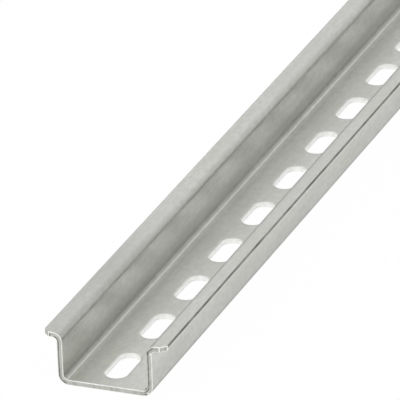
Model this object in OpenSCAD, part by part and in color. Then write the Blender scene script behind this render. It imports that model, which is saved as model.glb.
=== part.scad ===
// Top-hat mounting rail (DIN rail), 35 mm wide and 15 mm high, rolled from one strip of
// zinc-plated steel and punched with a row of slots. The rail lies on its floor along X,
// with its open side and its two lips up. The origin is at the middle of the underside.

/* [Rail] */
// Length of the rail
rail_len = 1000; // [100:25:2000]
// Width over both lips
rail_w = 35; // [33:0.5:50]
// Height from the underside of the floor to the top of the lips
rail_h = 15; // [7.5:0.5:25]
// Width over the outer faces of the two webs
web_w = 27; // [22:0.5:29]
// Thickness of the steel strip
sheet_t = 1.5; // [0.8:0.1:2.5]

/* [Bends] */
// Inner radius of the bends between the floor and the webs
floor_bend_r = 1.5; // [0.5:0.1:3]
// Inner radius of the bends between the webs and the lips
lip_bend_r = 1.2; // [0.4:0.1:2.5]

/* [Slots] */
// Length of a slot from end to end
slot_len = 15; // [12:0.1:22]
// Width of a slot
slot_w = 6.2; // [4.2:0.1:10]
// Distance from one slot to the next
slot_pitch = 25; // [23:0.5:50]

/* [Ends] */
// Leg of the corner that is cut off each lip at both ends
lip_corner = 1.7; // [0.3:0.1:3]

/* [Hidden] */
$fn = 64;

// Outer radii of the bends, on the far side of the strip
floor_bend_out = floor_bend_r + sheet_t;
lip_bend_out = lip_bend_r + sheet_t;
// Flat widths that the bends leave on the floor, a web and a lip
floor_flat = web_w - 2 * floor_bend_out;
web_flat = rail_h - floor_bend_out - lip_bend_out;
lip_flat = (rail_w - web_w) / 2 - lip_bend_r;
// The slots fill the length, with the same rest at both ends
slot_count = floor(rail_len / slot_pitch);
// How far a cutter runs past the face that it cuts
over = 1;

// A quarter bend of the strip about the origin, in the quadrant with the given signs
module bend(inner_r, sign_y, sign_z) {
    outer_r = inner_r + sheet_t;
    intersection() {
        difference() {
            circle(r = outer_r);
            circle(r = inner_r);
        }
        translate([min(sign_y, 0) * outer_r, min(sign_z, 0) * outer_r])
            square(outer_r);
    }
}

// One side of the section: floor bend, upright web, lip bend and lip
module side_section() {
    translate([floor_flat / 2, floor_bend_out])
        bend(floor_bend_r, 1, -1);
    translate([web_w / 2 - sheet_t, floor_bend_out])
        square([sheet_t, web_flat]);
    translate([web_w / 2 + lip_bend_r, rail_h - lip_bend_out])
        bend(lip_bend_r, -1, 1);
    translate([web_w / 2 + lip_bend_r, rail_h - sheet_t])
        square([lip_flat, sheet_t]);
}

// The strip's whole cross-section, with the rail's Y to the right and Z up
module rail_section() {
    translate([-floor_flat / 2, 0])
        square([floor_flat, sheet_t]);
    side_section();
    mirror([1, 0]) side_section();
}

// What the punch takes out of the floor: a slot along X with round ends
module slot_cutter() {
    straight = slot_len - slot_w;
    depth = sheet_t + 2 * over;
    translate([-straight / 2, -slot_w / 2, -over])
        cube([straight, slot_w, depth]);
    for (x = [-straight / 2, straight / 2])
        translate([x, 0, -over])
            cylinder(d = slot_w, h = depth);
}

// The row of slots along the middle of the floor
module slot_row() {
    for (i = [0 : slot_count - 1])
        translate([(i - (slot_count - 1) / 2) * slot_pitch, 0, 0])
            slot_cutter();
}

// The corner that is cut off one lip at one end, a prism with its right angle outside
module lip_corner_cutter() {
    translate([rail_len / 2, rail_w / 2, rail_h - lip_bend_out])
        linear_extrude(lip_bend_out + over)
            polygon([
                [over, over],
                [-lip_corner - over, over],
                [over, -lip_corner - over]
            ]);
}

module rail() {
    color("#b9bab5")
        difference() {
            rotate([90, 0, 90])
                linear_extrude(rail_len, center = true)
                    rail_section();
            slot_row();
            for (end = [0, 1], side = [0, 1])
                mirror([end, 0, 0])
                    mirror([0, side, 0])
                        lip_corner_cutter();
        }
}

rail();
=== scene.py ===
"""The looks of a slotted top-hat mounting rail of zinc-plated steel.

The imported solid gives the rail's length and place. The visible rail is modelled over it with
the details that the plain solid leaves out: eased edges, punched slot rims and worn cut ends.
All lengths are in metres, with X along the rail, Y across it and Z up.
"""

import logging
import math
from collections.abc import Callable
from dataclasses import dataclass, field
from enum import Enum, IntEnum

import bmesh
import bpy
from mathutils import Matrix, Vector


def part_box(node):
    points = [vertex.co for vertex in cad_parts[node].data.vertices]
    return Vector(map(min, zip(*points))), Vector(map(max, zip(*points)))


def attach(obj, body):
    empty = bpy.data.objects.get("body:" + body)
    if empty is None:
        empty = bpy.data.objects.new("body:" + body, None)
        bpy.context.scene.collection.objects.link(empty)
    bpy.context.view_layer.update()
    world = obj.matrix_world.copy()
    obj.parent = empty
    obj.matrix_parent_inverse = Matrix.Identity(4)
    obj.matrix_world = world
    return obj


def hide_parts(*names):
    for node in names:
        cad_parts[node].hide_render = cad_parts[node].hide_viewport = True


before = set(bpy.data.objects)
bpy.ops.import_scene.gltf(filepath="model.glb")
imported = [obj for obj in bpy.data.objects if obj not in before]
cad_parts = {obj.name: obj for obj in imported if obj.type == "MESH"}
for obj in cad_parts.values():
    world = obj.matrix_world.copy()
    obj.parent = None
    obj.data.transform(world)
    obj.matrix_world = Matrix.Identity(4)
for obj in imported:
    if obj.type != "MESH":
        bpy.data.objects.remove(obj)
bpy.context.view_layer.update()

LOG = logging.getLogger("mounting_rail")
MM = 0.001
MERGE = 0.001 * MM  # points nearer than this become one
TOLERANCE = 0.01 * MM  # lengths this close count as the same
SQUARE_ON = 0.9  # the part of a normal along an axis from which a face stands square to it
QUARTER_TURN = math.pi / 2
HALF_TURN = math.pi

Triple = tuple[float, float, float]
Socket = bpy.types.NodeSocket
FaceTest = Callable[[bmesh.types.BMFace], bool]
EdgeTest = Callable[[bmesh.types.BMEdge], bool]


# ---------------------------------------------------------------- helpers for modelling


class Finish(IntEnum):
    """The material index of each finish on the rail's mesh."""

    ZINC = 0
    CUT = 1
    PUNCHED = 2
    TORN = 3
    EDGE = 4


class Axis(IntEnum):
    """The three directions, by their place in a point."""

    X = 0
    Y = 1
    Z = 2


class Part(Enum):
    """What a selection in edit mode is made of."""

    FACES = "FACE"
    EDGES = "EDGE"


def deselect_objects() -> None:
    """Leave edit mode and deselect every object."""
    if bpy.context.object is not None and bpy.context.object.mode == "EDIT":
        bpy.ops.object.mode_set(mode="OBJECT")
    bpy.ops.object.select_all(action="DESELECT")


def activate(piece: bpy.types.Object) -> None:
    """Select one object alone and make it active.

    Args:
        piece: The object to work on.
    """
    deselect_objects()
    piece.select_set(True)
    bpy.context.view_layer.objects.active = piece


def edit(piece: bpy.types.Object) -> None:
    """Enter edit mode on one object, with nothing selected.

    Args:
        piece: The object to edit.
    """
    activate(piece)
    bpy.ops.object.mode_set(mode="EDIT")
    bpy.ops.mesh.select_mode(type="VERT")
    bpy.ops.mesh.select_all(action="DESELECT")


def new_plate(
    name: str, size: float, place: Triple, stretch: Triple, turn: Triple = (0.0, 0.0, 0.0)
) -> bpy.types.Object:
    """Add a flat square, stretch it to a rectangle and leave it selected in edit mode.

    Args:
        name: The new object's name.
        size: The square's side.
        place: Where its middle lies.
        stretch: What the turned square is scaled by along each axis.
        turn: How the square is turned about each axis.

    Returns:
        The new object, with its place in its mesh.
    """
    deselect_objects()
    bpy.ops.mesh.primitive_plane_add(size=size, rotation=turn, location=place)
    plate = bpy.context.object
    plate.name = name
    bpy.ops.object.transform_apply(location=True, rotation=True, scale=True)
    edit(plate)
    bpy.ops.mesh.select_all(action="SELECT")
    bpy.ops.transform.resize(value=stretch)
    return plate


def select_parts(piece: bpy.types.Object, part: Part, test: Callable[..., bool]) -> int:
    """Select the faces or the edges that pass a test, in edit mode, and nothing else.

    Args:
        piece: The object in edit mode.
        part: Whether faces or edges are selected.
        test: Says of one of them whether it is wanted.

    Returns:
        The number selected.
    """
    bpy.ops.mesh.select_mode(type=part.value)
    bpy.ops.mesh.select_all(action="DESELECT")
    mesh = bmesh.from_edit_mesh(piece.data)
    candidates = mesh.faces if part is Part.FACES else mesh.edges
    wanted = [candidate for candidate in candidates if test(candidate)]
    for found in wanted:
        found.select_set(True)
    bmesh.update_edit_mesh(piece.data, loop_triangles=False, destructive=False)
    return len(wanted)


def select_faces(piece: bpy.types.Object, test: FaceTest) -> int:
    """Select only the faces that pass a test, and say how many there are."""
    return select_parts(piece, Part.FACES, test)


def select_edges(piece: bpy.types.Object, test: EdgeTest) -> int:
    """Select only the edges that pass a test, and say how many there are."""
    return select_parts(piece, Part.EDGES, test)


def finish_faces(piece: bpy.types.Object, finish: Finish, test: FaceTest) -> int:
    """Give a finish to the faces that pass a test, in edit mode, and leave them selected.

    Args:
        piece: The object in edit mode.
        finish: The finish that they get.
        test: Says of a face whether it is wanted.

    Returns:
        The number of faces found.
    """
    found = select_faces(piece, test)
    piece.active_material_index = finish
    bpy.ops.object.material_slot_assign()
    return found


def close(value: float, target: float) -> bool:
    """Say whether two lengths are the same within the tolerance."""
    return abs(value - target) < TOLERANCE


def on_plane(edge: bmesh.types.BMEdge, axis: Axis, place: float) -> bool:
    """Say whether both ends of an edge lie on a plane across one axis."""
    return all(close(vertex.co[axis], place) for vertex in edge.verts)


def apply_modifier(piece: bpy.types.Object, kind: str, **settings: object) -> None:
    """Add a modifier, give it its settings and apply it.

    Args:
        piece: The object that gets it.
        kind: The modifier's type, such as "ARRAY".
        settings: The modifier's own values by name.
    """
    activate(piece)
    modifier = piece.modifiers.new(kind.title(), kind)
    for name, value in settings.items():
        setattr(modifier, name, value)
    bpy.ops.object.modifier_apply(modifier=modifier.name)


def join(pieces: list[bpy.types.Object]) -> bpy.types.Object:
    """Join several meshes into the first and merge the points where they meet.

    Args:
        pieces: The objects to join.

    Returns:
        The joined object.
    """
    activate(pieces[0])
    for piece in pieces[1:]:
        piece.select_set(True)
    bpy.ops.object.join()
    joined = bpy.context.object
    edit(joined)
    bpy.ops.mesh.select_all(action="SELECT")
    bpy.ops.mesh.remove_doubles(threshold=MERGE)
    bpy.ops.object.mode_set(mode="OBJECT")
    return joined


# ---------------------------------------------------------------- helpers for materials


@dataclass(frozen=True)
class Stretch:
    """How a value changes between two places, or between two greys of a pattern.

    It is below up to start and above from end on. The defaults take in the middle of a pattern.
    """

    below: float = 0.0
    above: float = 1.0
    start: float = 0.3
    end: float = 0.7


@dataclass(frozen=True)
class Noise:
    """A noise pattern: its cells per metre along X, Y and Z, its octaves and its shift."""

    scale: Triple
    detail: float = 3.0
    roughness: float = 0.5
    offset: Triple = (0.0, 0.0, 0.0)


class NodeSheet:
    """A small helper that lays out one node tree."""

    def __init__(self, tree: bpy.types.NodeTree) -> None:
        """Take a node tree to work on."""
        self.tree = tree

    def add(self, kind: str, **settings: object) -> bpy.types.Node:
        """Add a node and set its own properties.

        Args:
            kind: The node's type.
            settings: Properties of the node by name.

        Returns:
            The new node.
        """
        node = self.tree.nodes.new(kind)
        for name, value in settings.items():
            setattr(node, name, value)
        return node

    def feed(self, source: Socket | float | Triple, target: Socket) -> None:
        """Link a socket to another, or set it to a plain number, vector or colour.

        Args:
            source: Where the value comes from, or the value itself.
            target: The socket that gets it.
        """
        if isinstance(source, Socket):
            self.tree.links.new(source, target)
        elif target.type == "RGBA":
            target.default_value = (*source, 1.0)
        else:
            target.default_value = source

    def spread(self, source: Socket, stretch: Stretch) -> Socket:
        """Map a place or a grey pattern to a range of values.

        Args:
            source: The place or the pattern.
            stretch: The range that it is mapped to.

        Returns:
            The mapped value.
        """
        ranged = self.add("ShaderNodeMapRange", interpolation_type="SMOOTHSTEP")
        self.feed(source, ranged.inputs["Value"])
        self.feed(stretch.start, ranged.inputs["From Min"])
        self.feed(stretch.end, ranged.inputs["From Max"])
        self.feed(stretch.below, ranged.inputs["To Min"])
        self.feed(stretch.above, ranged.inputs["To Max"])
        return ranged.outputs["Result"]

    def combined(
        self, operation: str, first: Socket, second: Socket | float, **settings: object
    ) -> Socket:
        """Put two numbers together.

        Args:
            operation: The math node's operation, such as "MULTIPLY".
            first: The first number.
            second: The second number.
            settings: Other properties of the math node by name.

        Returns:
            The result.
        """
        node = self.add("ShaderNodeMath", operation=operation, **settings)
        self.feed(first, node.inputs[0])
        self.feed(second, node.inputs[1])
        return node.outputs[0]

    def product(self, first: Socket, *others: Socket | float) -> Socket:
        """Multiply several numbers.

        Args:
            first: The first number.
            others: The numbers that it is multiplied by.

        Returns:
            The product.
        """
        for other in others:
            first = self.combined("MULTIPLY", first, other)
        return first

    def unsigned(self, number: Socket) -> Socket:
        """Take the sign off a number.

        Args:
            number: The number.

        Returns:
            Its size.
        """
        node = self.add("ShaderNodeMath", operation="ABSOLUTE")
        self.feed(number, node.inputs[0])
        return node.outputs[0]

    def axes(self, vector: Socket) -> tuple[Socket, ...]:
        """Split a vector.

        Args:
            vector: The vector.

        Returns:
            Its parts along X, Y and Z.
        """
        parts = self.add("ShaderNodeSeparateXYZ")
        self.feed(vector, parts.inputs["Vector"])
        return tuple(parts.outputs)

    def ladder(self, place: Socket, first: Stretch, *others: Stretch) -> Socket:
        """Chain several stretches along one direction.

        Args:
            place: The height or width at each place.
            first: The first stretch.
            others: The stretches that follow, each starting where the last one stopped.

        Returns:
            The share at each place.
        """
        share = self.spread(place, first)
        for step in others:
            change = Stretch(1.0, step.above / step.below, step.start, step.end)
            share = self.product(share, self.spread(place, change))
        return share

    def mixed(self, where: Socket, first: Socket | float, second: Socket | float) -> Socket:
        """Pass from one number to another by place.

        Args:
            where: How much of the second number counts at each place.
            first: The first number.
            second: The second number.

        Returns:
            The mixed number.
        """
        mix = self.add("ShaderNodeMix", data_type="FLOAT")
        self.feed(where, mix.inputs["Factor"])
        self.feed(first, mix.inputs["A"])
        self.feed(second, mix.inputs["B"])
        return mix.outputs["Result"]

    def blend(self, share: Socket, first: Socket | Triple, second: Socket | Triple) -> Socket:
        """Mix two colours by a grey value.

        Args:
            share: How much of the second colour shows.
            first: The first colour.
            second: The second colour.

        Returns:
            The mixed colour.
        """
        mix = self.add("ShaderNodeMix", data_type="RGBA")
        self.feed(share, mix.inputs["Factor"])
        ends = (socket for socket in mix.inputs if socket.type == "RGBA")
        for colour, socket in zip((first, second), ends):
            self.feed(colour, socket)
        return next(socket for socket in mix.outputs if socket.type == "RGBA")

    def dimmed(self, colour: Socket, share: Socket) -> Socket:
        """Scale a colour by a grey value.

        Args:
            colour: The colour.
            share: How much of its brightness stays.

        Returns:
            The scaled colour.
        """
        scale = self.add("ShaderNodeVectorMath", operation="SCALE")
        self.feed(colour, scale.inputs[0])
        self.feed(share, scale.inputs["Scale"])
        return scale.outputs["Vector"]


class MaterialSheet(NodeSheet):
    """The node tree of a new material."""

    def __init__(self, name: str) -> None:
        """Start a material with a Principled shader and its output.

        Args:
            name: The material's name.
        """
        self.material = bpy.data.materials.new(name)
        self.material.use_nodes = True
        super().__init__(self.material.node_tree)
        self.shader = self.tree.nodes["Principled BSDF"]
        coordinates = self.add("ShaderNodeTexCoord")
        self.place = coordinates.outputs["Object"]
        self.facing = coordinates.outputs["Normal"]

    def noise(self, noise: Noise) -> Socket:
        """Add a noise pattern in the rail's own coordinates.

        Args:
            noise: The pattern's sizes.

        Returns:
            The noise's grey value.
        """
        mapping = self.add("ShaderNodeMapping")
        self.feed(self.place, mapping.inputs["Vector"])
        self.feed(noise.scale, mapping.inputs["Scale"])
        self.feed(noise.offset, mapping.inputs["Location"])
        pattern = self.add("ShaderNodeTexNoise")
        self.feed(mapping.outputs["Vector"], pattern.inputs["Vector"])
        self.feed(1.0, pattern.inputs["Scale"])
        self.feed(noise.detail, pattern.inputs["Detail"])
        self.feed(noise.roughness, pattern.inputs["Roughness"])
        return pattern.outputs["Fac"]

    def bump(self, height: Socket, strength: float, distance: float) -> None:
        """Give the shader a fine relief.

        Args:
            height: The pattern of heights.
            strength: How strongly it shows, from 0 to 1.
            distance: The height that a value of 1 stands for.
        """
        node = self.add("ShaderNodeBump")
        self.feed(height, node.inputs["Height"])
        self.feed(strength, node.inputs["Strength"])
        self.feed(distance, node.inputs["Distance"])
        self.feed(node.outputs["Normal"], self.shader.inputs["Normal"])


# ---------------------------------------------------------------- finishes


@dataclass(frozen=True)
class MetalFinish:
    """A metal surface whose colour, gloss and relief follow one pattern of marks.

    The colour passes from light to dark with the marks, and takes the tint of grazing where it
    is seen at a low angle. The relief is how strongly the marks show in the surface, and 0 is none.
    """

    name: str
    light: Triple
    dark: Triple
    marks: Noise
    roughness: Stretch
    metallic: float = 1.0
    grazing: Triple = (1.0, 1.0, 1.0)
    relief: float = 0.0
    relief_height: float = 0.05 * MM

    def make(self) -> bpy.types.Material:
        """Make the material.

        Returns:
            The new material.
        """
        sheet = MaterialSheet(self.name)
        marks = sheet.noise(self.marks)
        inputs = sheet.shader.inputs
        sheet.feed(self._colour(sheet, marks), inputs["Base Color"])
        sheet.feed(self.metallic, inputs["Metallic"])
        sheet.feed(self.grazing, inputs["Specular Tint"])
        sheet.feed(sheet.spread(marks, self.roughness), inputs["Roughness"])
        if self.relief > 0.0:
            sheet.bump(marks, self.relief, self.relief_height)
        return sheet.material

    def _colour(self, sheet: MaterialSheet, marks: Socket) -> Socket:
        """Let the marks pass from the light colour to the dark one."""
        return sheet.blend(sheet.spread(marks, Stretch()), self.light, self.dark)


@dataclass(frozen=True)
class ZincPlating(MetalFinish):
    """The satin zinc layer: pale grey, streaked along the rail and faintly clouded.

    The stretches paint shade and highlight into the zinc's colour: they give the share of its
    brightness that the zinc keeps, by height inside the webs and outside them, and by place across
    and along the rail.
    """

    name: str = "zinc_plating"
    light: Triple = (0.81, 0.812, 0.781)
    dark: Triple = (0.734, 0.738, 0.70)
    marks: Noise = Noise((14.0, 1300.0, 1300.0), detail=4.0, roughness=0.6)
    roughness: Stretch = Stretch(0.31, 0.41)
    grazing: Triple = (0.76, 0.76, 0.76)
    relief: float = 0.15
    relief_height: float = 0.02 * MM
    clouds: Noise = Noise((45.0, 160.0, 160.0), detail=4.0)
    patches: Noise = Noise((22.0, 70.0, 70.0), detail=2.0, offset=(3.0, 1.0, 7.0))
    olive: Triple = (0.75, 0.758, 0.66)
    olive_share: Stretch = Stretch(0.0, 0.7, 0.5, 0.75)
    streak_share: Stretch = Stretch(0.0, 0.35)
    grain: Noise = Noise((420.0, 800.0, 800.0), offset=(5.0, 2.0, 9.0))
    worn: Triple = (0.655, 0.66, 0.627)
    worn_share: Stretch = Stretch(0.0, 0.65)
    # Painted shade by height inside the webs: darkest at the floor's fold, then along the lower web
    # and under the lips.
    floor_to_fold: Stretch = Stretch(0.965, 0.62, 1.52 * MM, 1.8 * MM)
    fold_to_crease: Stretch = Stretch(0.62, 0.77, 1.85 * MM, 2.2 * MM)
    crease_to_bend: Stretch = Stretch(0.77, 0.73, 2.3 * MM, 2.7 * MM)
    bend_to_lower_web_shade: Stretch = Stretch(0.73, 0.78, 2.9 * MM, 4.2 * MM)
    lower_web_shade_to_web: Stretch = Stretch(0.78, 0.98, 4.3 * MM, 7.5 * MM)
    web_to_shade: Stretch = Stretch(0.98, 0.94, 11.0 * MM, 11.9 * MM)
    shade_to_lip: Stretch = Stretch(0.94, 0.88, 12.8 * MM, 13.3 * MM)
    # Painted highlight on the floor beside the far bend, fading out up the bend.
    floor_flank_highlight: Stretch = Stretch(1.0, 1.19, 9.2 * MM, 10.1 * MM)
    bend_flank_highlight: Stretch = Stretch(1.19, 1.083, 10.5 * MM, 11.0 * MM)
    slot_row: Stretch = Stretch(0.97, 1.0, 3.0 * MM, 7.0 * MM)
    # Painted shade by height on the outer webs, darkest at the foot, and on the lip tops.
    foot_shade_to_outer_web: Stretch = Stretch(0.5, 0.87, 0.6 * MM, 3.0 * MM)
    outer_web_shade_to_shoulder: Stretch = Stretch(0.87, 1.0, 3.0 * MM, 12.5 * MM)
    shoulder_to_lip: Stretch = Stretch(1.0, 0.9, 13.4 * MM, 13.6 * MM)
    slit_edge: Stretch = Stretch(1.0, 1.1, 17.25 * MM, 17.45 * MM)
    outside: Stretch = Stretch(0.0, 1.0, 12.2 * MM, 12.6 * MM)
    one_web: Stretch = Stretch(0.0, 1.0, 11.0 * MM, 11.4 * MM)
    low_web: Stretch = Stretch(0.5, 0.0, 3.4 * MM, 5.5 * MM)
    # Darker towards the start end, on one lip and the foot of its web.
    near_start_dimming: Stretch = Stretch(0.89, 1.0, -458.0 * MM, -425.0 * MM)

    def _colour(self, sheet: MaterialSheet, marks: Socket) -> Socket:
        """Lay clouds, olive patches, streaks and worn grain over each other, then paint shade and
        highlight.

        Args:
            sheet: The material that is laid out.
            marks: The pattern of streaks.

        Returns:
            The colour at each place.
        """
        clouds = sheet.spread(sheet.noise(self.clouds), Stretch())
        patches = sheet.spread(sheet.noise(self.patches), self.olive_share)
        streaks = sheet.spread(marks, self.streak_share)
        grain = sheet.spread(sheet.noise(self.grain), self.worn_share)
        clouded = sheet.blend(clouds, self.light, self.dark)
        tinted = sheet.blend(patches, clouded, self.olive)
        streaked = sheet.blend(streaks, tinted, self.dark)
        # The painted shade and highlight scale the colour by place.
        return sheet.dimmed(sheet.blend(grain, streaked, self.worn), self._painted_light_share(sheet))

    def _painted_light_share(self, sheet: MaterialSheet) -> Socket:
        """Paint shade and highlight into the zinc by place.

        It is darker in painted shade at the floor's fold, along the lower webs, under the lips, on
        the lip tops and down the outer webs to their foot, and lighter in a painted highlight along
        the floor beside the far bend. The lips' slit edges are a little lighter and the row of slots
        a little darker.

        Args:
            sheet: The material that is laid out.

        Returns:
            The share of its brightness that the zinc keeps at each place.
        """
        along, across, height = sheet.axes(sheet.place)
        sideways = sheet.unsigned(across)
        # Painted shade and highlight by height inside the webs.
        inside = sheet.ladder(
            height,
            self.floor_to_fold,
            self.fold_to_crease,
            self.crease_to_bend,
            self.bend_to_lower_web_shade,
            self.lower_web_shade_to_web,
            self.web_to_shade,
            self.shade_to_lip,
        )
        # Painted highlight along the floor beside the far bend.
        flank = sheet.ladder(across, self.floor_flank_highlight, self.bend_flank_highlight)
        inside = sheet.product(inside, flank, sheet.spread(sideways, self.slot_row))
        # Painted shade by height outside the webs and on the lip tops.
        outer_or_lip = sheet.ladder(
            height,
            self.foot_shade_to_outer_web,
            self.outer_web_shade_to_shoulder,
            self.shoulder_to_lip,
        )
        outer_or_lip = sheet.product(outer_or_lip, sheet.spread(sideways, self.slit_edge))
        keep = sheet.mixed(sheet.spread(sideways, self.outside), inside, outer_or_lip)
        return sheet.product(keep, self._darker_near_start(sheet, along, across, height))

    def _darker_near_start(self, sheet: MaterialSheet, along: Socket, across: Socket, height: Socket) -> Socket:
        """Darken one lip and the foot of its web towards the start end.

        Args:
            sheet: The material that is laid out.
            along: The place along the rail.
            across: The place across it.
            height: The place above its underside.

        Returns:
            The share of its brightness that the zinc keeps at each place.
        """
        lip = sheet.spread(across, self.outside)
        web = sheet.spread(across, self.one_web)
        foot = sheet.product(web, sheet.spread(height, self.low_web))
        where = sheet.combined("MAXIMUM", lip, foot)
        return sheet.mixed(where, 1.0, sheet.spread(along, self.near_start_dimming))


@dataclass(frozen=True)
class CutSteel(MetalFinish):
    """Bare steel where the strip was sheared: grey, with fine tear marks."""

    name: str = "cut_steel"
    light: Triple = (0.62, 0.62, 0.585)
    dark: Triple = (0.46, 0.46, 0.43)
    marks: Noise = Noise((900.0, 900.0, 260.0), detail=5.0, roughness=0.65)
    roughness: Stretch = Stretch(0.38, 0.6)
    relief: float = 0.4


@dataclass(frozen=True)
class PunchedWall(MetalFinish):
    """The bright burnished wall that a punch leaves, with a line of fracture along its long sides."""

    name: str = "punched_wall"
    light: Triple = (0.99, 0.99, 0.97)
    dark: Triple = (0.93, 0.93, 0.905)
    marks: Noise = Noise((700.0, 700.0, 200.0))
    roughness: Stretch = Stretch(0.28, 0.38)
    metallic: float = 0.9
    into_fracture: Stretch = Stretch(1.0, 0.6, 0.37 * MM, 0.43 * MM)
    out_of_fracture: Stretch = Stretch(0.6, 1.0, 0.55 * MM, 0.61 * MM)
    long_side: Stretch = Stretch(0.0, 1.0, 0.5, 0.97)
    wander: Stretch = Stretch(-0.04 * MM, 0.04 * MM)

    def _colour(self, sheet: MaterialSheet, marks: Socket) -> Socket:
        """Draw the dull line where the slug broke away, fading out round the slot's ends.

        Args:
            sheet: The material that is laid out.
            marks: The pattern that lets the line wander up and down.

        Returns:
            The colour at each place.
        """
        height = sheet.axes(sheet.place)[Axis.Z]
        facing = sheet.unsigned(sheet.axes(sheet.facing)[Axis.Y])
        wavy = sheet.combined("ADD", height, sheet.spread(marks, self.wander))
        line = sheet.ladder(wavy, self.into_fracture, self.out_of_fracture)
        keep = sheet.mixed(sheet.spread(facing, self.long_side), 1.0, line)
        return sheet.dimmed(super()._colour(sheet, marks), keep)


@dataclass(frozen=True)
class TornSteel(MetalFinish):
    """The dull band where the strip tore off at the end of the cut."""

    name: str = "torn_steel"
    light: Triple = (0.32, 0.32, 0.298)
    dark: Triple = (0.17, 0.17, 0.156)
    marks: Noise = Noise((160.0, 900.0, 900.0), detail=5.0, roughness=0.6)
    roughness: Stretch = Stretch(0.5, 0.7)
    metallic: float = 0.8
    relief: float = 0.5


@dataclass(frozen=True)
class BrightEdge(MetalFinish):
    """Edges rubbed bright by cutting and handling."""

    name: str = "bright_edge"
    light: Triple = (1.0, 1.0, 0.97)
    dark: Triple = (0.84, 0.84, 0.805)
    marks: Noise = Noise((420.0, 420.0, 420.0))
    roughness: Stretch = Stretch(0.25, 0.4)


# ---------------------------------------------------------------- the rail


@dataclass(frozen=True)
class Nick:
    """A small dark dent or bright bead that the cut left beside the edge of a cut end."""

    y: float
    z: float
    reach: float
    depth: float
    finish: Finish


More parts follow.
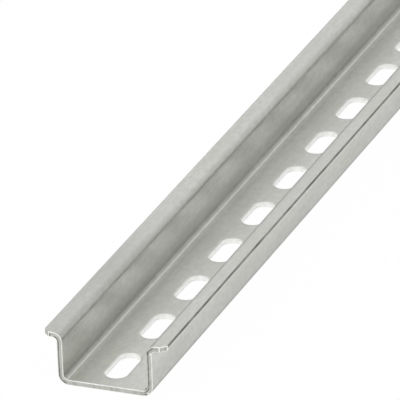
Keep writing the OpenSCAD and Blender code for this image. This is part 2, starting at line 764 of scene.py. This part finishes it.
@dataclass
class MountingRail:
    """One length of top-hat rail, bent from a strip with a row of punched slots.

    The rim is the drawn upper edge of a slot: how deep it goes, how far it reaches at the slot's
    ends and sides, and how deep its outer part keeps its zinc. The other edges are a slot's lower
    edge, the corners of a lip's slit edge and the edges of a cut end. What lies less than beside
    from an end or an edge counts as near it. The values that end in facing are limits for the
    part of a face's normal along an axis. The finishes stand in the order of Finish.
    """

    start: Vector
    end: Vector
    strip: float = 1.5 * MM
    web_width: float = 27.0 * MM
    floor_bend: float = 1.5 * MM
    lip_bend: float = 1.2 * MM
    slot_length: float = 15.0 * MM
    slot_width: float = 6.2 * MM
    pitch: float = 25.0 * MM
    lip_corner: float = 1.7 * MM
    rim: float = 0.28 * MM
    rim_at_ends: float = 0.95 * MM
    rim_at_sides: float = 0.68 * MM
    plated_rim: float = 0.056 * MM
    lower_edge: float = 0.1 * MM
    slit_edge: float = 0.2 * MM
    end_edge: float = 0.21 * MM
    end_band: float = 0.58 * MM
    torn_band: float = 0.66 * MM
    beside: float = 1.0 * MM
    past_corner: float = 0.1 * MM
    bend_steps: int = 10
    slot_steps: int = 16
    rim_steps: int = 4
    lower_steps: int = 2
    edge_steps: int = 3
    end_facing: float = 0.6
    slit_facing: float = 0.2
    slit_end_facing: float = 0.1
    shear_facing: float = 0.35
    edge_facing: float = 0.5
    edge_up_facing: float = 0.4
    flat_angle: float = math.radians(1.0)
    sharp_angle: float = math.radians(35.0)
    smooth_angle: float = math.radians(38.0)
    normal_weight: int = 80
    nicks: tuple[Nick, ...] = (
        Nick(-11.5 * MM, 0.55 * MM, 0.42 * MM, 0.14 * MM, Finish.TORN),
        Nick(-12.4 * MM, 0.8 * MM, 0.40 * MM, 0.03 * MM, Finish.EDGE),
        Nick(-12.2 * MM, 12.5 * MM, 0.42 * MM, 0.12 * MM, Finish.TORN),
        Nick(-13.4 * MM, 12.6 * MM, 0.42 * MM, 0.03 * MM, Finish.EDGE),
    )
    finishes: tuple[MetalFinish, ...] = (
        ZincPlating(),
        CutSteel(),
        PunchedWall(),
        TornSteel(),
        BrightEdge(),
    )

    @property
    def half_width(self) -> float:
        """Half the width over both lips."""
        return (self.end.y - self.start.y) / 2

    @property
    def height(self) -> float:
        """Height from the underside to the top of the lips."""
        return self.end.z - self.start.z

    @property
    def floor_half(self) -> float:
        """Half the floor's flat width between the bends."""
        return self.web_width / 2 - self.floor_bend - self.strip

    @property
    def count(self) -> int:
        """Number of slots, one for each pitch of the length."""
        return round((self.end.x - self.start.x) / self.pitch)

    @property
    def cell_middle(self) -> float:
        """Where the first slot's middle lies along the rail."""
        return self.start.x + self.pitch / 2

    @property
    def ends(self) -> tuple[tuple[float, float], ...]:
        """Where each cut end lies, and the way along X that leads into the rail."""
        return (self.start.x, 1.0), (self.end.x, -1.0)

    def build(self) -> bpy.types.Object:
        """Model the whole rail and dress it.

        Returns:
            The finished rail.
        """
        side = self._side()
        floor = self._floor_cell()
        rail = join([side, floor])
        for finish in self.finishes:
            rail.data.materials.append(finish.make())
        apply_modifier(
            rail,
            "ARRAY",
            count=self.count,
            use_relative_offset=False,
            use_constant_offset=True,
            constant_offset_displace=(self.pitch, 0.0, 0.0),
            use_merge_vertices=True,
            merge_threshold=MERGE,
        )
        self._close_ends(rail)
        self._cut_lip_corners(rail)
        self._mark_finishes(rail)
        self._ease_ends(rail)
        self._dress(rail)
        return rail

    def _side(self) -> bpy.types.Object:
        """Bend the strip up one side of one pitch of rail, and mirror it to the other side.

        Returns:
            Both sides, open where the floor goes.
        """
        x = self.start.x
        web_y = (self.web_width - self.strip) / 2
        web_low = self.floor_bend + self.strip
        web_high = self.height - self.lip_bend - self.strip
        side = new_plate(
            "side_of_one_pitch",
            self.strip,
            (x, web_y, (web_low + web_high) / 2),
            (1.0, 1.0, (web_high - web_low) / self.strip),
            turn=(0.0, QUARTER_TURN, 0.0),
        )
        for level, turning_y in (
            (web_low, self.floor_half),
            (web_high, self.web_width / 2 + self.lip_bend),
        ):
            select_edges(side, lambda edge, z=level: on_plane(edge, Axis.Z, z))
            bpy.ops.mesh.spin(
                steps=self.bend_steps,
                angle=QUARTER_TURN,
                center=(x, turning_y, level),
                axis=(1.0, 0.0, 0.0),
            )
        self._stretch_lip(side)
        self._draw_along(side)
        apply_modifier(
            side,
            "MIRROR",
            use_axis=(False, True, False),
            use_mirror_merge=False,
        )
        return side

    def _stretch_lip(self, side: bpy.types.Object) -> None:
        """Extrude the flat of the lip and round the corners of its slit edge.

        Args:
            side: The side's section, in edit mode.
        """
        bend_end = self.web_width / 2 + self.lip_bend
        select_edges(
            side,
            lambda edge: on_plane(edge, Axis.Y, bend_end) and edge.verts[0].co.z > self.height / 2,
        )
        bpy.ops.mesh.extrude_region_move(
            TRANSFORM_OT_translate={"value": (0.0, self.half_width - bend_end, 0.0)}
        )
        select_edges(side, lambda edge: on_plane(edge, Axis.Y, self.half_width))
        bpy.ops.mesh.bevel(
            affect="VERTICES", offset=self.slit_edge, segments=self.edge_steps, clamp_overlap=False
        )
        select_edges(side, lambda edge: on_plane(edge, Axis.Y, self.half_width))
        bpy.ops.mesh.subdivide(number_cuts=1)
        middle = self.height - self.strip / 2
        mesh = bmesh.from_edit_mesh(side.data)
        bpy.ops.mesh.select_all(action="DESELECT")
        for vertex in mesh.verts:
            if close(vertex.co.y, self.half_width) and close(vertex.co.z, middle):
                vertex.select_set(True)
        bpy.ops.transform.translate(value=(0.0, 0.0, self.strip / 2 - self.torn_band))

    def _draw_along(self, side: bpy.types.Object) -> None:
        """Extrude the side's section along one pitch and take its closed ends off.

        Args:
            side: The side's section, in edit mode.
        """
        bpy.ops.mesh.select_all(action="SELECT")
        bpy.ops.mesh.extrude_region_move(TRANSFORM_OT_translate={"value": (self.pitch, 0.0, 0.0)})

        def is_open(face: bmesh.types.BMFace) -> bool:
            """Say whether a face closes the pitch where the next one or the floor goes."""
            meets_floor = close(face.calc_center_median().y, self.floor_half)
            return abs(face.normal.x) > SQUARE_ON or (
                meets_floor and abs(face.normal.y) > SQUARE_ON
            )

        select_faces(side, is_open)
        bpy.ops.mesh.delete(type="FACE")
        bpy.ops.object.mode_set(mode="OBJECT")

    def _floor_cell(self) -> bpy.types.Object:
        """Make one pitch of the floor with its punched slot.

        Returns:
            The floor's upper and lower skins, joined by the slot's wall.
        """
        wall = self._slot_wall()
        skins = []
        for z in (0.0, self.strip):
            skin = new_plate(
                "floor_skin",
                self.pitch,
                (self.cell_middle, 0.0, z),
                (1.0, 2 * self.floor_half / self.pitch, 1.0),
            )
            bpy.ops.mesh.delete(type="ONLY_FACE")
            bpy.ops.object.mode_set(mode="OBJECT")
            skins.append(skin)
        floor = join([wall, *skins])
        floor.name = "floor_of_one_pitch"
        edit(floor)
        for z in (0.0, self.strip):
            select_edges(floor, lambda edge, z=z: on_plane(edge, Axis.Z, z))
            bpy.ops.mesh.fill(use_beauty=True)
        bpy.ops.object.mode_set(mode="OBJECT")
        return floor

    def _slot_wall(self) -> bpy.types.Object:
        """Turn the slot's wall and its edges: a straight, a half turn, and the same again.

        Returns:
            The wall as a closed ring.
        """
        half = (self.slot_length - self.slot_width) / 2
        low = self.lower_edge
        high = self.strip - self.rim
        y = self.slot_width / 2
        wall = new_plate(
            "slot_wall",
            2 * half,
            (self.cell_middle, y, (low + high) / 2),
            (1.0, 1.0, (high - low) / (2 * half)),
            turn=(QUARTER_TURN, 0.0, 0.0),
        )
        for level, radius, turn, steps in (
            (high, self.rim, 1.0, self.rim_steps),
            (low, self.lower_edge, -1.0, self.lower_steps),
        ):
            select_edges(wall, lambda edge, z=level: on_plane(edge, Axis.Z, z))
            bpy.ops.mesh.spin(
                steps=steps,
                angle=QUARTER_TURN,
                center=(self.cell_middle, y + radius, level),
                axis=(turn, 0.0, 0.0),
            )
        for way in (1.0, -1.0):
            end_x = self.cell_middle + way * half

            def is_cut(edge: bmesh.types.BMEdge, side: float) -> bool:
                """Say whether an edge ends the wall here, on one side of the slot."""
                return on_plane(edge, Axis.X, end_x) and side * edge.verts[0].co.y > 0.0

            select_edges(wall, lambda edge: is_cut(edge, way))
            bpy.ops.mesh.spin(
                steps=self.slot_steps,
                angle=HALF_TURN,
                center=(end_x, 0.0, 0.0),
                axis=(0.0, 0.0, 1.0),
            )
            if way > 0.0:
                select_edges(wall, lambda edge: is_cut(edge, -1.0))
                bpy.ops.mesh.extrude_region_move(
                    TRANSFORM_OT_translate={"value": (-2 * half, 0.0, 0.0)}
                )
        bpy.ops.mesh.select_all(action="SELECT")
        bpy.ops.mesh.remove_doubles(threshold=MERGE)
        self._draw_rim(wall)
        bpy.ops.object.mode_set(mode="OBJECT")
        return wall

    def _draw_rim(self, wall: bpy.types.Object) -> None:
        """Widen the upper rim where the punch pulled the strip down, most at the slot's two ends.

        Args:
            wall: The slot's wall, in edit mode.
        """
        for step in range(1, self.rim_steps + 1):
            turn = QUARTER_TURN * step / self.rim_steps
            out = 1 - math.cos(turn)
            level = self.strip - self.rim * (1 - math.sin(turn))
            half_length = self.slot_length / 2
            half_width = self.slot_width / 2
            select_edges(wall, lambda edge, z=level: on_plane(edge, Axis.Z, z))
            bpy.ops.transform.resize(
                value=(
                    (half_length + self.rim_at_ends * out) / (half_length + self.rim * out),
                    (half_width + self.rim_at_sides * out) / (half_width + self.rim * out),
                    1.0,
                ),
                center_override=(self.cell_middle, 0.0, level),
            )

    def _from_end(self, x: float) -> float:
        """How far a place along the rail lies from the nearer cut end."""
        return min(abs(x - self.start.x), abs(x - self.end.x))

    def _close_ends(self, rail: bpy.types.Object) -> None:
        """Close both cut ends and turn every face outwards.

        Args:
            rail: The open rail.
        """
        edit(rail)
        bpy.ops.mesh.select_all(action="SELECT")
        bpy.ops.mesh.remove_doubles(threshold=MERGE)
        for end_x, _ in self.ends:
            select_edges(rail, lambda edge, x=end_x: on_plane(edge, Axis.X, x) and edge.is_boundary)
            bpy.ops.mesh.edge_face_add()
        bpy.ops.mesh.select_all(action="SELECT")
        bpy.ops.mesh.normals_make_consistent(inside=False)
        bpy.ops.object.mode_set(mode="OBJECT")

    def _cut_lip_corners(self, rail: bpy.types.Object) -> None:
        """Cut the corner off each lip at both ends.

        Args:
            rail: The closed rail.
        """
        edit(rail)
        for end_x, way in self.ends:
            for side in (1.0, -1.0):
                tip = side * self.half_width

                def near_corner(face: bmesh.types.BMFace) -> bool:
                    """Say whether a face touches this corner of the lip."""
                    return any(
                        abs(v.co.x - end_x) < self.beside and abs(v.co.y - tip) < self.lip_corner
                        for v in face.verts
                    )

                select_faces(rail, near_corner)
                bpy.ops.mesh.bisect(
                    plane_co=(end_x + way * self.lip_corner, tip, 0.0),
                    plane_no=(way, -side, 0.0),
                    use_fill=True,
                    clear_inner=True,
                )
        bpy.ops.object.mode_set(mode="OBJECT")

    def _mark_finishes(self, rail: bpy.types.Object) -> None:
        """Give the cut ends, the slot walls and the torn band of the lips their own finishes.

        Args:
            rail: The rail with its lip corners cut.
        """
        slot_reach = self.slot_width / 2 + self.rim_at_sides
        torn_low = self.height - self.torn_band
        wall_high = self.strip - self.plated_rim

        def is_end(face: bmesh.types.BMFace) -> bool:
            """Say whether a face belongs to a cut end or a cut lip corner."""
            x = face.calc_center_median().x
            return abs(face.normal.x) > self.end_facing and self._from_end(x) < self.lip_corner

        def is_punched(face: bmesh.types.BMFace) -> bool:
            """Say whether a face belongs to the part of a slot that the punch burnished."""
            middle = face.calc_center_median()
            return (
                TOLERANCE < middle.z < wall_high
                and abs(middle.y) < slot_reach
                and self._from_end(middle.x) > self.beside
            )

        def is_torn(face: bmesh.types.BMFace) -> bool:
            """Say whether a face belongs to the torn band of a lip's slit edge."""
            middle = face.calc_center_median()
            return (
                abs(face.normal.y) > self.slit_facing
                and abs(face.normal.x) < self.slit_end_facing
                and middle.z > torn_low
                and abs(middle.y) > self.half_width - self.beside
            )

        edit(rail)
        finish_faces(rail, Finish.CUT, is_end)
        finish_faces(rail, Finish.PUNCHED, is_punched)
        finish_faces(rail, Finish.TORN, is_torn)
        bpy.ops.object.mode_set(mode="OBJECT")

    def _band_ends(self, rail: bpy.types.Object) -> None:
        """Inset the cut ends and leave a torn band on the side where the shear came out.

        Args:
            rail: The rail in edit mode.
        """

        def is_flat_end(face: bmesh.types.BMFace) -> bool:
            """Say whether a face lies flat in a cut end."""
            return abs(face.normal.x) > math.cos(self.flat_angle)

        def is_sheared(face: bmesh.types.BMFace) -> bool:
            """Say whether a face of a cut end lies along the side where the shear came out."""
            return is_flat_end(face) and any(
                other.normal.y > self.shear_facing for edge in face.edges for other in edge.link_faces
            )

        select_faces(rail, is_flat_end)
        bpy.ops.mesh.inset(thickness=self.end_band, use_even_offset=True)
        finish_faces(rail, Finish.TORN, is_sheared)

    def _ease_ends(self, rail: bpy.types.Object) -> None:
        """Round the edges of the cut ends a little, and give the rounded edges their finish.

        Args:
            rail: The rail with its lip corners cut.
        """
        tip = self.half_width - self.lip_corner

        def is_end_edge(edge: bmesh.types.BMEdge) -> bool:
            """Say whether a sharp edge belongs to a cut end or a cut lip corner."""
            return (
                len(edge.link_faces) == 2
                and edge.calc_face_angle(0.0) > self.sharp_angle
                and any(
                    self._from_end(v.co.x) < self.lip_corner + self.past_corner for v in edge.verts
                )
            )

        def is_torn_edge(face: bmesh.types.BMFace) -> bool:
            """Say whether a rounded edge lies on the side where the shear came out."""
            return (
                face.material_index == Finish.EDGE
                and face.normal.y > self.edge_facing
                and abs(face.normal.z) < self.edge_up_facing
            )

        def is_lip_corner(face: bmesh.types.BMFace) -> bool:
            """Say whether a rounded edge belongs to the lip corner on the side of the shear."""
            middle = face.calc_center_median()
            return (
                face.material_index in (Finish.EDGE, Finish.TORN)
                and middle.y > tip
                and self._from_end(middle.x) < self.lip_corner + self.end_edge
            )

        edit(rail)
        self._band_ends(rail)
        select_edges(rail, is_end_edge)
        bpy.ops.mesh.bevel(
            offset=self.end_edge,
            segments=self.edge_steps,
            clamp_overlap=False,
            material=Finish.EDGE,
        )
        finish_faces(rail, Finish.TORN, is_torn_edge)
        finish_faces(rail, Finish.ZINC, is_lip_corner)
        self._nick_ends(rail)
        bpy.ops.object.mode_set(mode="OBJECT")

    def _nick_ends(self, rail: bpy.types.Object) -> None:
        """Dent both cut ends where the cut left its nicks.

        Args:
            rail: The rail in edit mode.
        """
        for end_x, way in self.ends:
            for nick in self.nicks:

                def in_reach(face: bmesh.types.BMFace) -> bool:
                    """Say whether a small face of this end lies within the nick's reach."""
                    middle = face.calc_center_median()
                    away = Vector((middle.y - nick.y, middle.z - nick.z)).length
                    return abs(middle.x - end_x) < self.lip_corner and away < nick.reach

                found = finish_faces(rail, nick.finish, in_reach)
                bpy.ops.transform.translate(value=(way * nick.depth, 0.0, 0.0))
                LOG.info("nick at %.1f, %.1f mm: %d faces", nick.y / MM, nick.z / MM, found)

    def _dress(self, rail: bpy.types.Object) -> None:
        """Name the rail and smooth its bends.

        Args:
            rail: The modelled rail.
        """
        rail.name = "steel_rail"
        rail.data.name = "steel_rail"
        activate(rail)
        bpy.ops.object.shade_smooth_by_angle(angle=self.smooth_angle)
        apply_modifier(rail, "WEIGHTED_NORMAL", keep_sharp=True, weight=self.normal_weight)


# ---------------------------------------------------------------- floor, light and camera


@dataclass
class Studio:
    """A pale floor, soft light and a long lens set low over the rail's near end.

    The camera sees the floor as floor_seen of plain white, and metal mirrors floor_mirrored of
    it, by the distance from the rail's middle, as a painted glow that is brightest under the rail's
    middle, where the floor lies in shade. The room fades by room_fade towards room_dim_side.
    """

    near_end: Vector
    look_azimuth: float = math.radians(22.466)
    look_elevation: float = math.radians(24.87)
    lean: float = math.radians(-2.096)
    camera_place: Vector = field(default_factory=lambda: Vector((-1410.3, -612.1, 767.0)) * MM)
    lens: float = 585.5
    sensor: float = 36.0
    clip_start: float = 0.05
    clip_end: float = 100.0
    floor_size: float = 60.0
    floor_gap: float = 0.02 * MM
    floor_colour: Triple = (0.9, 0.9, 0.9)
    floor_roughness: float = 0.9
    floor_glow: float = 1.0
    floor_seen: float = 0.98
    floor_mirrored: Stretch = Stretch(0.86, 0.72, 6.0 * MM, 12.0 * MM)
    room_colour: Triple = (1.0, 1.0, 1.0)
    room_fade: Stretch = Stretch(0.92, 0.70, 0.75, 1.0)
    room_dim_side: Triple = (0.84, -0.55, 0.05)
    softbox_place: Triple = (-1.3, 0.6, 1.7)
    softbox_aim: Triple = (-0.4, 0.0, 0.0)
    softbox_size: float = 1.0
    softbox_power: float = 1.2

    def build(self) -> None:
        """Set up the whole studio."""
        self._floor()
        self._room()
        self._softbox()
        self._camera()

    def _floor(self) -> None:
        """Lay the floor that the rail rests on."""
        deselect_objects()
        bpy.ops.mesh.primitive_plane_add(size=self.floor_size, location=(0.0, 0.0, -self.floor_gap))
        floor = bpy.context.object
        floor.name = "studio_floor"
        bpy.ops.object.transform_apply(location=True, rotation=True, scale=True)
        sheet = MaterialSheet("pale_floor")
        sheet.feed(self.floor_colour, sheet.shader.inputs["Base Color"])
        sheet.feed(self.floor_roughness, sheet.shader.inputs["Roughness"])
        floor.data.materials.append(sheet.material)
        self._whiten(sheet)

    def _whiten(self, sheet: MaterialSheet) -> None:
        """Let the floor show as white to the camera, through glass and in polished metal.

        Args:
            sheet: The floor's material.
        """
        rays = sheet.add("ShaderNodeLightPath").outputs
        seen = sheet.combined("MAXIMUM", rays["Is Camera Ray"], rays["Is Transmission Ray"])
        sideways = sheet.unsigned(sheet.axes(sheet.place)[Axis.Y])
        # Painted glow: metal sees the floor brighter under the rail's middle, where it lies in shade.
        mirrored = sheet.product(rays["Is Glossy Ray"], sheet.spread(sideways, self.floor_mirrored))
        direct = sheet.product(seen, self.floor_seen)
        share = sheet.combined("ADD", direct, mirrored, use_clamp=True)
        white = sheet.add("ShaderNodeEmission")
        sheet.feed(self.floor_glow, white.inputs["Strength"])
        mix = sheet.add("ShaderNodeMixShader")
        sheet.feed(share, mix.inputs["Fac"])
        sheet.feed(sheet.shader.outputs["BSDF"], mix.inputs[1])
        sheet.feed(white.outputs["Emission"], mix.inputs[2])
        sheet.feed(mix.outputs["Shader"], sheet.tree.nodes["Material Output"].inputs["Surface"])

    def _room(self) -> None:
        """Fill the room with soft light that fades a little on the side that no lamp faces."""
        world = bpy.data.worlds.new("soft_room")
        world.use_nodes = True
        sheet = NodeSheet(world.node_tree)
        room = sheet.tree.nodes["Background"]
        sheet.feed(self.room_colour, room.inputs["Color"])
        way = sheet.add("ShaderNodeTexCoord")
        dot = sheet.add("ShaderNodeVectorMath", operation="DOT_PRODUCT")
        sheet.feed(way.outputs["Generated"], dot.inputs[0])
        sheet.feed(Vector(self.room_dim_side).normalized(), dot.inputs[1])
        sheet.feed(sheet.spread(dot.outputs["Value"], self.room_fade), room.inputs["Strength"])
        bpy.context.scene.world = world

    def _softbox(self) -> None:
        """Hang one square area lamp over the rail."""
        place = Vector(self.softbox_place)
        turn = (Vector(self.softbox_aim) - place).to_track_quat("-Z", "Y").to_euler()
        deselect_objects()
        bpy.ops.object.light_add(type="AREA", location=place, rotation=turn)
        lamp = bpy.context.object
        lamp.name = "over_softbox"
        lamp.data.shape = "SQUARE"
        lamp.data.size = self.softbox_size
        lamp.data.energy = self.softbox_power

    def _camera(self) -> None:
        """Set the camera and point it along the rail's near end."""
        cos_e = math.cos(self.look_elevation)
        forward = Vector(
            (
                math.cos(self.look_azimuth) * cos_e,
                math.sin(self.look_azimuth) * cos_e,
                -math.sin(self.look_elevation),
            )
        )
        level = Vector((math.sin(self.look_azimuth), -math.cos(self.look_azimuth), 0.0))
        up = level.cross(forward)
        right = math.cos(self.lean) * level + math.sin(self.lean) * up
        top = math.cos(self.lean) * up - math.sin(self.lean) * level
        turn = Matrix((right, top, -forward)).transposed().to_4x4()
        deselect_objects()
        bpy.ops.object.camera_add()
        camera = bpy.context.object
        camera.name = "long_lens"
        camera.matrix_world = Matrix.Translation(self.near_end + self.camera_place) @ turn
        camera.data.sensor_width = self.sensor
        camera.data.lens = self.lens
        camera.data.clip_start = self.clip_start
        camera.data.clip_end = self.clip_end
        scene = bpy.context.scene
        scene.camera = camera
        scene.view_settings.view_transform = "Standard"


def main() -> None:
    """Build the rail and its studio."""
    logging.basicConfig(level=logging.INFO, format="%(message)s")
    start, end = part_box("rail")
    rail = MountingRail(start, end).build()
    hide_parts("rail")
    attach(rail, "root")
    LOG.info("%s: %d faces", rail.name, len(rail.data.polygons))
    Studio(near_end=Vector((start.x, 0.0, 0.0))).build()


if __name__ == "__main__":
    main()
